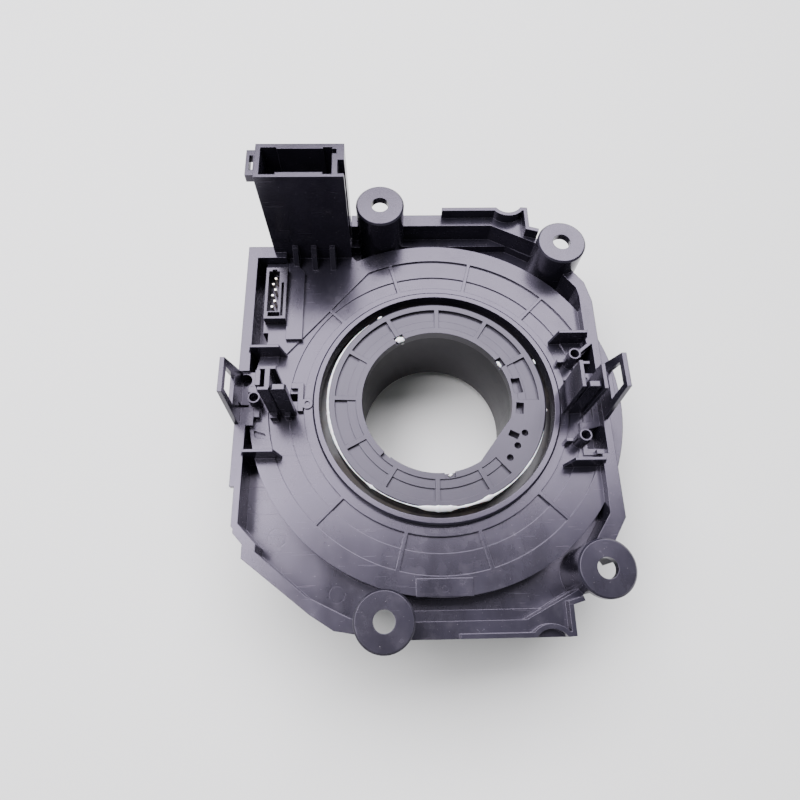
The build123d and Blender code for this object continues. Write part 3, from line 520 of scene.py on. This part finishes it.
# direction in degrees, half width and half height of the bead in millimetres
bead_stops = np.array([
    (128.0, 0.05, 0.02), (140.0, 0.20, 0.12), (152.0, 0.36, 0.20), (172.0, 0.46, 0.26), (190.0, 0.54, 0.30),
    (200.0, 0.50, 0.28), (208.0, 0.34, 0.20), (216.0, 0.18, 0.12), (222.0, 0.12, 0.08), (229.0, 0.14, 0.10),
    (233.0, 0.52, 0.30), (236.0, 0.14, 0.10), (247.0, 0.12, 0.10), (258.0, 0.20, 0.14), (262.0, 0.86, 0.42),
    (266.0, 1.08, 0.46), (275.0, 1.00, 0.42), (278.0, 0.42, 0.28), (287.0, 0.34, 0.22), (291.0, 0.52, 0.32),
    (294.5, 0.98, 0.46), (297.0, 0.36, 0.24), (306.0, 0.20, 0.14), (315.0, 0.16, 0.12), (322.0, 0.44, 0.26),
    (327.0, 0.18, 0.12), (336.0, 0.08, 0.06), (342.0, 0.03, 0.01),
])
# The lumps are partly white grease and partly painted glints at the bore's notches and on the ring's
# shoulder.
# direction in degrees, radius, level and half axes in millimetres, and the seed of the lump's outline
grease_and_glint_places = {
    "grease_blob_a": (117.5, 22.6, -0.8, (0.95, 1.5, 0.6), 3),
    "grease_blob_b": (116.0, 21.9, -2.6, (0.35, 0.5, 0.6), 4),
    "grease_blob_c": (31.0, 22.4, -1.0, (0.55, 1.0, 0.5), 5),
    "grease_blob_d": (277.5, 22.4, -1.2, (0.45, 0.6, 0.35), 6),
    "grease_blob_e": (121.0, 32.0, -0.4, (0.3, 0.9, 0.3), 8),
    "grease_blob_f": (22.0, 32.1, -0.5, (0.25, 0.7, 0.3), 9),
    "grease_blob_g": (354.0, 32.1, -1.2, (0.2, 0.5, 0.6), 10),
}
grease_pieces = [grease_bead("grease_bead", bead_stops, radius=31.85, level=-0.35, seed=7)]
grease_pieces += [grease_blob(name, *place) for name, place in grease_and_glint_places.items()]
grease_white = grease_paste("grease_white")
for piece in grease_pieces:
    piece.data.materials.append(grease_white)
    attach(piece, "rotor")


# ---- Table ---------------------------------------------------------------------------------------
# A pale matt table covered in paper, a hair below the unit's lowest point. It reaches past the camera's
# view on every side, and as a stage it is no piece of the unit.
def table_paper(name):
    finish = Finish(name, rounding_mm=0.1)
    cloud = finish.noise(per_mm=0.004, detail=3.0, rough=0.5)
    fibre = finish.noise(per_mm=1.5, detail=3.0, rough=0.6)
    finish.set(Base_Color=finish.blend((0.74, 0.75, 0.72), (0.79, 0.79, 0.77), cloud))
    finish.set(Roughness=(0.75 + (fibre - 0.5) * 0.1).clamped())
    finish.relief(fibre, depth_mm=0.02, strength=0.15)
    return finish.material


reach = 1.6
hair = 0.00002
top = cad_box[0][2] - hair
corners = [(-reach, -reach, top), (reach, -reach, top), (reach, reach, top), (-reach, reach, top)]
table_mesh = bpy.data.meshes.new("table")
table_mesh.from_pydata(corners, [], [(0, 1, 2, 3)])
table_mesh.materials.append(table_paper("table_paper"))
table = bpy.data.objects.new("table", table_mesh)
bpy.context.scene.collection.objects.link(table)


# ---- Light ---------------------------------------------------------------------------------------
# A broad soft panel hangs over the far side and a smaller one over the left, where the flat faces mirror
# them towards the lens. Neither stands over the near edge, so the faces nearest the lens stay dark.
def soft_light(name, place, size, watts, colour):
    """A rectangular panel that faces the middle of the unit."""
    light = bpy.data.lights.new(name, "AREA")
    light.shape = "RECTANGLE"
    light.size, light.size_y = size
    light.energy = watts
    light.color = colour
    lamp = bpy.data.objects.new(name, light)
    lamp.location = place
    lamp.rotation_euler = (-Vector(place)).to_track_quat("-Z", "Y").to_euler()
    bpy.context.scene.collection.objects.link(lamp)


soft_light("far_panel", (-0.04, 0.385, 0.78), size=(1.0, 0.56), watts=22.0, colour=(0.96, 0.94, 1.0))
soft_light("left_panel", (-0.43, -0.02, 0.76), size=(0.40, 0.50), watts=7.5, colour=(0.97, 0.95, 1.0))
room = bpy.data.worlds.new("room")
room.use_nodes = True
room_air = room.node_tree.nodes["Background"].inputs
room_air["Color"].default_value = (0.86, 0.89, 0.92, 1.0)
room_air["Strength"].default_value = 0.32
bpy.context.scene.world = room
